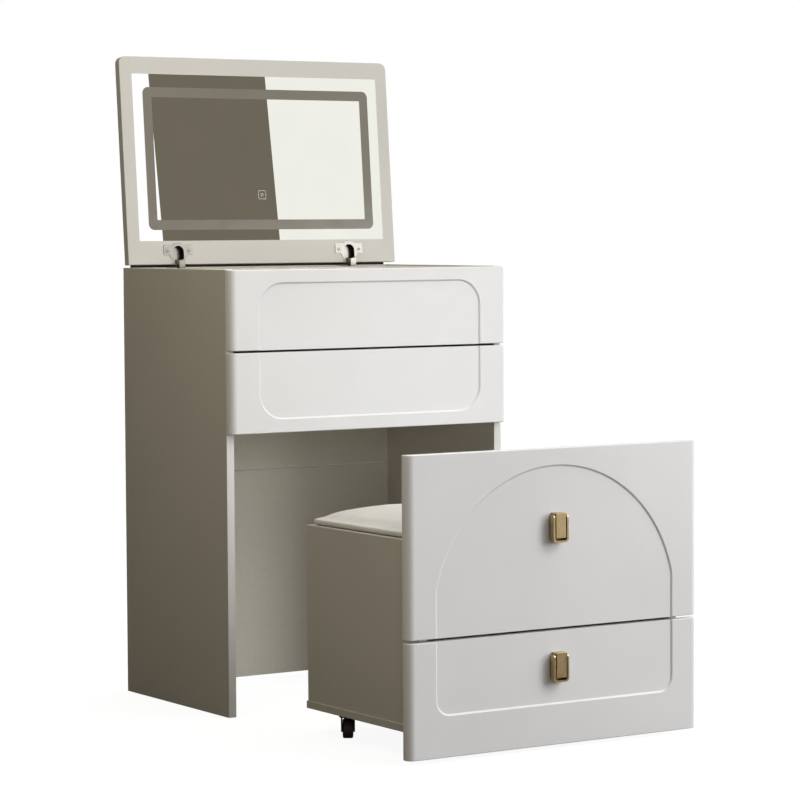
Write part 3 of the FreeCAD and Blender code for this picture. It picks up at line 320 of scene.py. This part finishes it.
CASE_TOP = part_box("side_panel_left")[1][2]
MATERIALS = {
    "front_lacquer": lacquer("front lacquer", (0.846, 0.853, 0.862), 0.36),
    "lid_lacquer": lacquer("lid lacquer", (0.60, 0.588, 0.55), 0.40),
    # The case board's taupe is partly its own colour and partly painted shade on its sides and top; its front- and
    # rear-facing faces take the lighter colour.
    "case_board": melamine("case board", (0.66, 0.63, 0.57), 0.50, (0.84, 0.83, 0.81)),
    "top_laminate": melamine("top laminate", (0.44, 0.40, 0.34), 0.46),
    # The back board's top lip is painted nearly black as shade for the gap under the lid.
    "back_board": with_painted_gap_shade(melamine("back board", (0.86, 0.838, 0.74), 0.52), CASE_TOP),
    "drawer_board": melamine("drawer board", (0.70, 0.68, 0.63), 0.55),
    "mirror": silvered_glass("silvered glass"),
    "frosted_band": etched_glass("etched band", (0.190, 0.172, 0.140)),
    "led_tape": light_tape("light tape"),
    "black_plastic": moulded("black plastic", (0.034, 0.029, 0.025), 0.42),
    "caster_tread": moulded("caster tread", (0.046, 0.037, 0.030), 0.55),
    # Crevice colours: painted shade in the hollows of nickel and zinc; on the antique brass, patina and painted
    # shade.
    "nickel": metal("nickel", (0.26, 0.245, 0.22), (0.37, 0.355, 0.325), (0.10, 0.08, 0.06),
                    0.30, (2400, 2400, 2400), 12 * MM),
    "zinc": metal("zinc", (0.44, 0.45, 0.46), (0.60, 0.61, 0.62), (0.30, 0.29, 0.28),
                  0.36, (1500, 60, 1500)),
    "brass": metal("antique brass", (0.40, 0.295, 0.150), (0.62, 0.495, 0.300), (0.07, 0.045, 0.02),
                   0.38, (2600, 2600, 120)),
    "seat_cover": leatherette("seat cover", (0.80, 0.785, 0.75)),
}

for subpart in record["subparts"]:
    mesh = nodes[subpart["node"]].data
    mesh.materials.clear()
    mesh.materials.append(MATERIALS[subpart["material_slot"]])


# ------------------------------------------------------------------ seat cushion
CUSHION_VOXEL = 5.0 * MM
CUSHION_FRAMES = 20
CUSHION_PRESSURE = 4.0
CUSHION_MOST = 5.0 * MM           # how far the filling may push the cover out
CUSHION_CROWN = 37.0 * MM         # the seat's middle above the seat board
CROWN_RUN = 24.0 * MM             # how gently the top rises from its edge
SEAM_RISE = 10.0 * MM             # height of the sewn edge above the seat board
BASE_TRIM = 4.0 * MM              # the soft lower corner pressed flat on the board
SEAM_DEPTH = 1.4 * MM
SEAM_WIDTH = 2.2 * MM
SEAM_REACH = 20.0 * MM            # only this near the sides
SMOOTH_SHARE, SMOOTH_ROUNDS = 0.5, 4


def inflated(cushion):
    """Fills the cover with cloth pressure, capped, and leaves the result in the mesh."""
    start = [vertex.co.copy() for vertex in cushion.data.vertices]
    cloth = cushion.modifiers.new("filling", "CLOTH")
    cloth.settings.use_pressure = True
    cloth.settings.uniform_pressure_force = CUSHION_PRESSURE
    cloth.settings.effector_weights.gravity = 0
    cloth.point_cache.frame_start = 1
    cloth.point_cache.frame_end = CUSHION_FRAMES
    for number in range(1, CUSHION_FRAMES + 1):
        scene.frame_set(number)
    shape = cushion.evaluated_get(bpy.context.evaluated_depsgraph_get())
    ends = [vertex.co.copy() for vertex in shape.data.vertices]
    cushion.modifiers.remove(cloth)
    scene.frame_set(1)
    for vertex, before, after in zip(cushion.data.vertices, start, ends):
        push = after - before
        if push.length > CUSHION_MOST:
            push *= CUSHION_MOST / push.length
        vertex.co = before + push


def with_modifiers_applied(piece):
    mesh = bpy.data.meshes.new_from_object(piece.evaluated_get(bpy.context.evaluated_depsgraph_get()))
    piece.modifiers.clear()
    piece.data = mesh


def fitted(mesh, low, high):
    """Stretches a mesh so that its box runs from one corner to the other."""
    points = [vertex.co for vertex in mesh.vertices]
    least = [min(point[axis] for point in points) for axis in range(3)]
    most = [max(point[axis] for point in points) for axis in range(3)]
    for vertex in mesh.vertices:
        for axis in range(3):
            share = (vertex.co[axis] - least[axis]) / (most[axis] - least[axis])
            vertex.co[axis] = low[axis] + share * (high[axis] - low[axis])


def sewn(mesh, low, high):
    """Lets the top rise gently from a sewn edge, with a groove where the seam pulls in."""
    middle = (low + high) / 2
    for vertex in mesh.vertices:
        point = vertex.co.copy()
        rise = point.z - low.z
        edge = max(0.0, min(point.x - low.x, high.x - point.x, point.y - low.y, high.y - point.y))
        if rise > SEAM_RISE:
            point.z = low.z + SEAM_RISE + (rise - SEAM_RISE) * (1 - math.exp(-edge / CROWN_RUN))
        point.z = max(point.z, low.z)
        if edge < SEAM_REACH:
            outward = Vector((point.x - middle.x, point.y - middle.y, 0)).normalized()
            point -= outward * SEAM_DEPTH * math.exp(-((rise - SEAM_RISE) / SEAM_WIDTH) ** 2)
        vertex.co = point


def make_cushion():
    low, high = (Vector(corner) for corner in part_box("seat_cushion"))
    high.z = low.z + CUSHION_CROWN
    mesh = nodes["seat_cushion"].data.copy()
    mesh.name = "cushion_cover"
    cushion = bpy.data.objects.new("cushion_cover", mesh)
    scene.collection.objects.link(cushion)
    remesh = cushion.modifiers.new("even mesh", "REMESH")
    remesh.mode = "VOXEL"
    remesh.voxel_size = CUSHION_VOXEL
    with_modifiers_applied(cushion)
    inflated(cushion)
    smooth = cushion.modifiers.new("soften", "SMOOTH")
    smooth.factor = SMOOTH_SHARE
    smooth.iterations = SMOOTH_ROUNDS
    finer = cushion.modifiers.new("finer", "SUBSURF")
    finer.levels = 1
    finer.render_levels = 1
    with_modifiers_applied(cushion)
    fitted(cushion.data, low - Vector((0, 0, BASE_TRIM)), high)
    sewn(cushion.data, low, high)
    for polygon in cushion.data.polygons:
        polygon.use_smooth = True
    cushion.data.materials.clear()
    cushion.data.materials.append(MATERIALS["seat_cover"])
    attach(cushion, "stool")
    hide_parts("seat_cushion")


make_cushion()


# ------------------------------------------------------------------ flat pieces cut from outlines
def plate_from_outlines(name, outlines, thickness):
    """A flat piece in x and y: the first outline is its edge, the others are holes."""
    curve = bpy.data.curves.new(name, "CURVE")
    curve.dimensions = "2D"
    curve.fill_mode = "BOTH"
    curve.extrude = thickness / 2
    for points in outlines:
        spline = curve.splines.new("POLY")
        spline.points.add(len(points) - 1)
        for target, (x, y) in zip(spline.points, points):
            target.co = (x, y, 0, 1)
        spline.use_cyclic_u = True
    draft = bpy.data.objects.new(name, curve)
    scene.collection.objects.link(draft)
    bpy.context.view_layer.update()
    mesh = bpy.data.meshes.new_from_object(draft.evaluated_get(bpy.context.evaluated_depsgraph_get()))
    bpy.data.objects.remove(draft)
    return mesh


def rounded_square(half, corner, steps=6):
    points = []
    for number, (sx, sy) in enumerate(((1, 1), (-1, 1), (-1, -1), (1, -1))):
        for step in range(steps + 1):
            angle = math.radians(90 * (number + step / steps))
            points.append((sx * (half - corner) + corner * math.cos(angle),
                           sy * (half - corner) + corner * math.sin(angle)))
    return points


def circle(radius, steps=32):
    return [(radius * math.cos(2 * math.pi * step / steps), radius * math.sin(2 * math.pi * step / steps))
            for step in range(steps)]


# ------------------------------------------------------------------ touch mark on the mirror
LEAN = math.radians(joints["lid_hinge"]["range_deg"][1] - 90)
OUT_OF_MIRROR = Vector((0, -math.cos(LEAN), math.sin(LEAN)))
UP_THE_LID = Vector((0, math.sin(LEAN), math.cos(LEAN)))
GLASS_AND_HALF_SENSOR = 5.5 * MM
MARK_HALF = 8.5 * MM
MARK_LINE = 0.9 * MM
MARK_CORNER = 2.0 * MM
MARK_INNER_CORNER = 1.2 * MM
MARK_THICKNESS = 0.06 * MM
DOT_RADIUS = 3.2 * MM


def on_mirror(centre):
    """Stands a flat piece drawn in x and y upright on the mirror's face."""
    turn = Matrix((Vector((1, 0, 0)), UP_THE_LID, OUT_OF_MIRROR)).transposed().to_4x4()
    return Matrix.Translation(centre) @ turn


def make_touch_mark():
    low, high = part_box("touch_sensor")
    outward = GLASS_AND_HALF_SENSOR + MARK_THICKNESS / 2
    centre = (Vector(low) + Vector(high)) / 2 + OUT_OF_MIRROR * outward
    square = [rounded_square(MARK_HALF, MARK_CORNER),
              rounded_square(MARK_HALF - MARK_LINE, MARK_INNER_CORNER)]
    ring = [circle(DOT_RADIUS), circle(DOT_RADIUS - MARK_LINE)]
    for name, outlines in (("touch_frame", square), ("touch_dot", ring)):
        mesh = plate_from_outlines(name, outlines, MARK_THICKNESS)
        piece = bpy.data.objects.new(name, mesh)
        scene.collection.objects.link(piece)
        mesh.transform(on_mirror(centre))
        mesh.materials.append(MARK_MATERIAL)
        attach(piece, "lid")


MARK_MATERIAL = etched_glass("etched mark", (0.62, 0.61, 0.57))
make_touch_mark()


# ------------------------------------------------------------------ painted shade in the cross recesses of the hinge screws
CROSS_REACH = 2.1 * MM
CROSS_HALF_WIDTH = 0.55 * MM
CROSS_THICKNESS = 0.03 * MM
HEAD_FACE_DEPTH = 0.03 * MM       # points this near the outermost one belong to the head's face
BETWEEN_SCREWS = 10 * MM          # screws of one node lie farther apart than this along X


def cross(reach, half_width):
    quarter = ((reach, half_width), (half_width, half_width), (half_width, reach))
    turns = ((1, 1), (-1, 1), (-1, -1), (1, -1))
    points = []
    for number, (sx, sy) in enumerate(turns):
        corners = [(sx * x, sy * y) for x, y in quarter]
        points += corners if number % 2 == 0 else corners[::-1]
    return points


def screw_heads(node, outward):
    """The middle of each screw's outer face."""
    points = sorted((vertex.co.copy() for vertex in nodes[node].data.vertices), key=lambda point: point.x)
    groups = [[points[0]]]
    for before, point in zip(points, points[1:]):
        if point.x - before.x > BETWEEN_SCREWS:
            groups.append([])
        groups[-1].append(point)
    heads = []
    for group in groups:
        farthest = max(point.dot(outward) for point in group)
        face = [point for point in group if farthest - point.dot(outward) < HEAD_FACE_DEPTH]
        heads.append(sum(face, Vector()) / len(face))
    return heads


def make_recess_shades():
    """A dark cross laid on each screw's head is the painted shade of the driver recess."""
    # Near-black cross: painted shade where the recess is.
    painted_recess_shade = moulded("screw recess painted shade", (0.05, 0.045, 0.04), 0.5)
    for number, centre in enumerate(screw_heads("hinge_cup_screws", OUT_OF_MIRROR)):
        name = f"screw_recess_shade_{number}"
        mesh = plate_from_outlines(name, [cross(CROSS_REACH, CROSS_HALF_WIDTH)], CROSS_THICKNESS)
        mesh.transform(on_mirror(centre + OUT_OF_MIRROR * CROSS_THICKNESS / 2))
        mesh.materials.append(painted_recess_shade)
        piece = bpy.data.objects.new(name, mesh)
        scene.collection.objects.link(piece)
        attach(piece, "lid")


make_recess_shades()


# ------------------------------------------------------------------ studio
def make_camera():
    camera = bpy.data.objects.new("camera", bpy.data.cameras.new("camera"))
    camera.data.lens = CAMERA_LENS
    camera.data.clip_end = CAMERA_REACH
    turn = Matrix.Rotation(math.radians(-CAMERA_YAW), 4, "Z")
    turn = turn @ Matrix.Rotation(math.radians(90 - CAMERA_DROP), 4, "X")
    turn = turn @ Matrix.Rotation(math.radians(CAMERA_ROLL), 4, "Z")
    camera.matrix_world = Matrix.Translation(CAMERA_PLACE) @ turn
    scene.collection.objects.link(camera)
    scene.camera = camera


def make_softbox(name, place, size, power, colour):
    light = bpy.data.lights.new(name, "AREA")
    light.size = size
    light.energy = power
    light.color = colour
    lamp = bpy.data.objects.new(name, light)
    aim = SOFTBOX_AIM - place
    lamp.matrix_world = Matrix.Translation(place) @ aim.to_track_quat("-Z", "Y").to_matrix().to_4x4()
    scene.collection.objects.link(lamp)


def make_world():
    world = bpy.data.worlds.new("studio")
    world.use_nodes = True
    scene.world = world
    tree = world.node_tree
    tree.nodes.clear()

    def dot_with(vector):
        product = tree.nodes.new("ShaderNodeVectorMath")
        product.operation = "DOT_PRODUCT"
        product.inputs[1].default_value = vector
        tree.links.new(direction, product.inputs[0])
        return product.outputs["Value"]

    def math_node(operation, first, second):
        node = tree.nodes.new("ShaderNodeMath")
        node.operation = operation
        for socket, value in zip(node.inputs, (first, second)):
            if isinstance(value, (int, float)):
                socket.default_value = value
            else:
                tree.links.new(value, socket)
        return node.outputs["Value"]

    direction = tree.nodes.new("ShaderNodeTexCoord").outputs["Generated"]
    sideways = remapped(tree, dot_with((1, 0, 0)), 0, 1, GLOW_SPREAD)
    room = mixed(tree, sideways, SIDE_GLOW, OPEN_GLOW)

    start, end = math.radians(CARD_START), math.radians(CARD_END)
    past_start = math_node("GREATER_THAN", dot_with((math.cos(start), math.sin(start), 0)), 0)
    past_end = math_node("GREATER_THAN", dot_with((math.cos(end), math.sin(end), 0)), 0)
    in_front = math_node("GREATER_THAN", dot_with((0, -1, 0)), 0)
    card = math_node("MULTIPLY", math_node("SUBTRACT", past_start, past_end), in_front)
    lit_side = math_node("GREATER_THAN", dot_with((1, 0, 0)), LIT_SIDE_START)
    wall = mixed(tree, past_end, ROOM_WHITE, ROOM_CREAM)
    mirrored = mixed(tree, card, mixed(tree, lit_side, room, wall), CARD_COLOUR)

    path = tree.nodes.new("ShaderNodeLightPath")
    lighting = mixed(tree, path.outputs["Is Glossy Ray"], room, mirrored)
    seen = mixed(tree, path.outputs["Is Camera Ray"], lighting, WHITE)
    background = tree.nodes.new("ShaderNodeBackground")
    output = tree.nodes.new("ShaderNodeOutputWorld")
    tree.links.new(seen, background.inputs["Color"])
    tree.links.new(background.outputs["Background"], output.inputs["Surface"])


def floor_material():
    """Pale floor that shows soft shadows and sends little light back up."""
    material = bpy.data.materials.new("pale floor")
    material.use_nodes = True
    tree = material.node_tree
    tree.nodes.clear()
    path = tree.nodes.new("ShaderNodeLightPath")
    pale = tree.nodes.new("ShaderNodeBsdfDiffuse")
    pale.inputs["Color"].default_value = (*FLOOR_PALE, 1)
    lift = tree.nodes.new("ShaderNodeEmission")
    lift.inputs["Strength"].default_value = FLOOR_LIFT
    seen = tree.nodes.new("ShaderNodeAddShader")
    dull = tree.nodes.new("ShaderNodeBsdfDiffuse")
    dull.inputs["Color"].default_value = (*FLOOR_BOUNCE, 1)
    choice = tree.nodes.new("ShaderNodeMixShader")
    output = tree.nodes.new("ShaderNodeOutputMaterial")
    tree.links.new(pale.outputs["BSDF"], seen.inputs[0])
    tree.links.new(lift.outputs["Emission"], seen.inputs[1])
    tree.links.new(path.outputs["Is Camera Ray"], choice.inputs["Fac"])
    tree.links.new(dull.outputs["BSDF"], choice.inputs[1])
    tree.links.new(seen.outputs["Shader"], choice.inputs[2])
    tree.links.new(choice.outputs["Shader"], output.inputs["Surface"])
    return material


def make_floor():
    mesh = bpy.data.meshes.new("floor")
    half = FLOOR_SIZE / 2
    corners = [(-half, -half, 0), (half, -half, 0), (half, half, 0), (-half, half, 0)]
    mesh.from_pydata(corners, [], [tuple(range(len(corners)))])
    mesh.materials.append(floor_material())
    floor = bpy.data.objects.new("floor", mesh)
    scene.collection.objects.link(floor)


make_camera()
make_world()
make_floor()
for lamp_name, lamp_values in SOFTBOXES.items():
    make_softbox(lamp_name, *lamp_values)
scene.view_settings.view_transform = "Standard"
